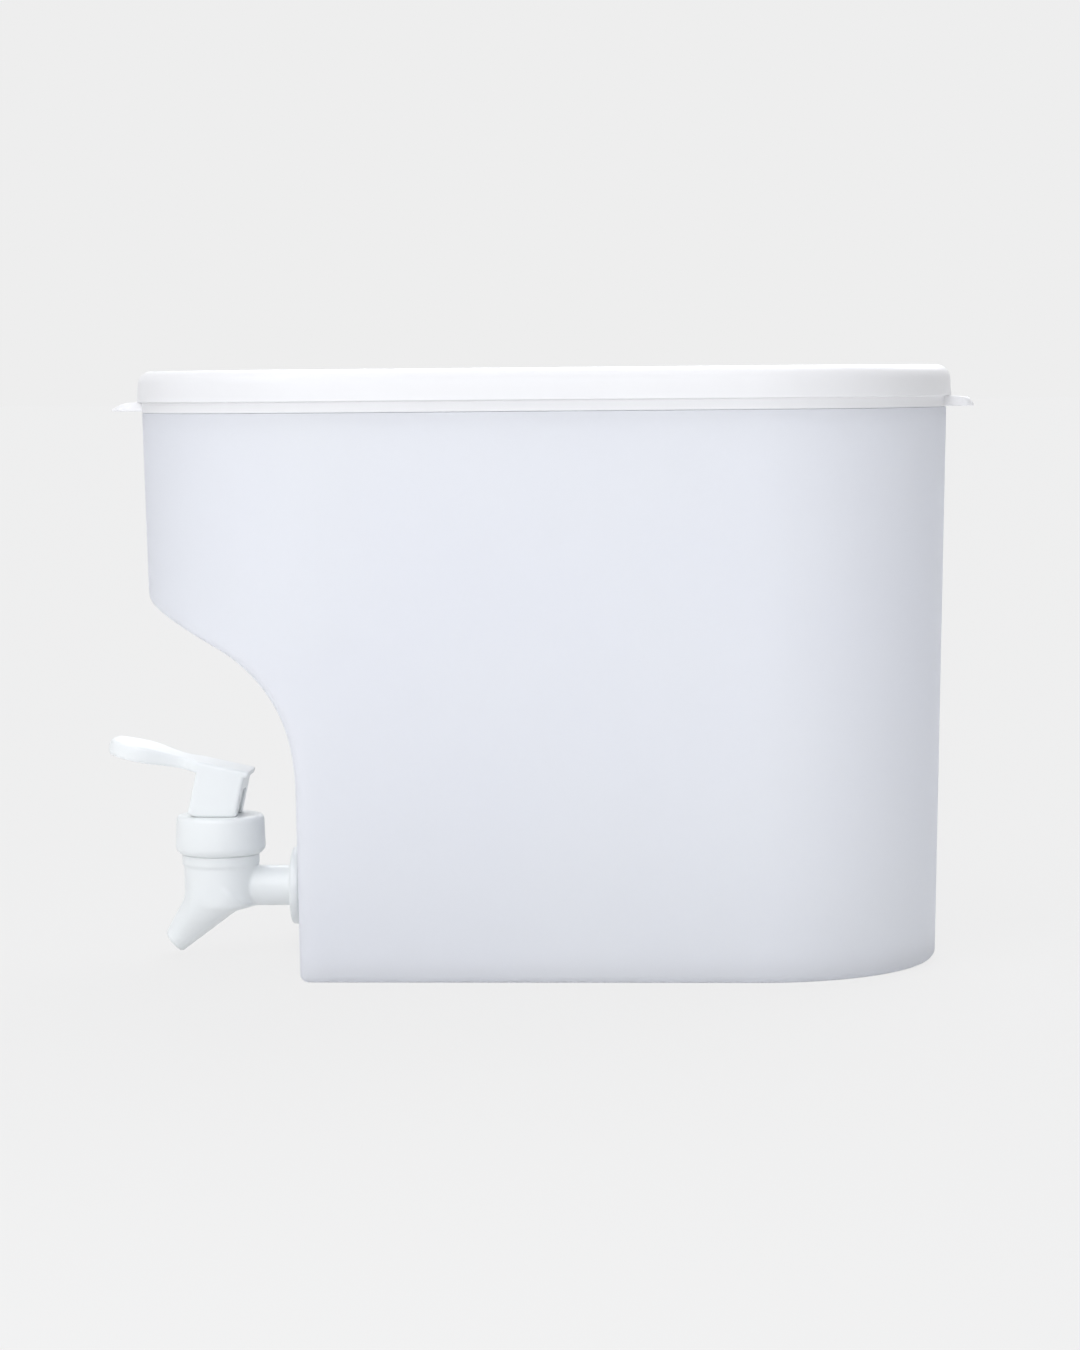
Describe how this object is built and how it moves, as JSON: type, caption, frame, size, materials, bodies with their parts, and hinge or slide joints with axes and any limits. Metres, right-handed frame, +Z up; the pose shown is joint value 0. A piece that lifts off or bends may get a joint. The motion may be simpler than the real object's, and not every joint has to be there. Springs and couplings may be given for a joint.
{
  "type": "detergent dispenser",
  "caption": "Slim upright tub with a recessed front, a snap lid with pull tabs, and a lever tap that dispenses liquid from low on the front.",
  "frame": {"origin": "centre of the whole object's footprint box, on the surface it stands on", "axes": "+X along the tub away from the tap, +Y across the tub, +Z up"},
  "size_m": [0.2735, 0.1212, 0.1858],
  "materials": {
    "tub_plastic": "translucent milky polypropylene, satin moulded",
    "lid_plastic": "white low-density polyethylene, satin moulded",
    "tap_plastic": "white polypropylene, semi-gloss moulded",
    "silicone": "clear-white silicone",
    "spring_steel": "drawn stainless wire"
  },
  "bodies": {
    "root": {"container": "tub_plastic", "tap_body": "tap_plastic", "bonnet": "tap_plastic", "seat_cup": "silicone", "return_spring": "spring_steel", "outer_washer": "silicone", "inner_washer": "silicone", "lock_nut": "tap_plastic"},
    "lid": {"lid": "lid_plastic"},
    "stem": {"valve_stem": "tap_plastic"},
    "lever": {"lever": "tap_plastic"}
  },
  "joints": [
    {"name": "lid_lift", "type": "slide", "parent": "root", "child": "lid", "axis": [0, 0, 1], "range_m": [0, 0.12]},
    {"name": "stem_lift", "type": "slide", "parent": "root", "child": "stem", "axis": [0, 0, 1], "range_m": [0, 0.0024], "deforming": ["return_spring", "seat_cup"]},
    {"name": "lever_press", "type": "hinge", "parent": "stem", "child": "lever", "pos_m": [-0.10135, 0, 0.0513], "axis": [0, -1, 0], "range_deg": [0, 25], "stiffness_Nm_per_rad": 0.35, "springref_deg": -11.46}
  ],
  "couplings": [
    {"joint": "stem_lift", "follows": "lever_press", "m_per_rad": 0.0055}
  ]
}
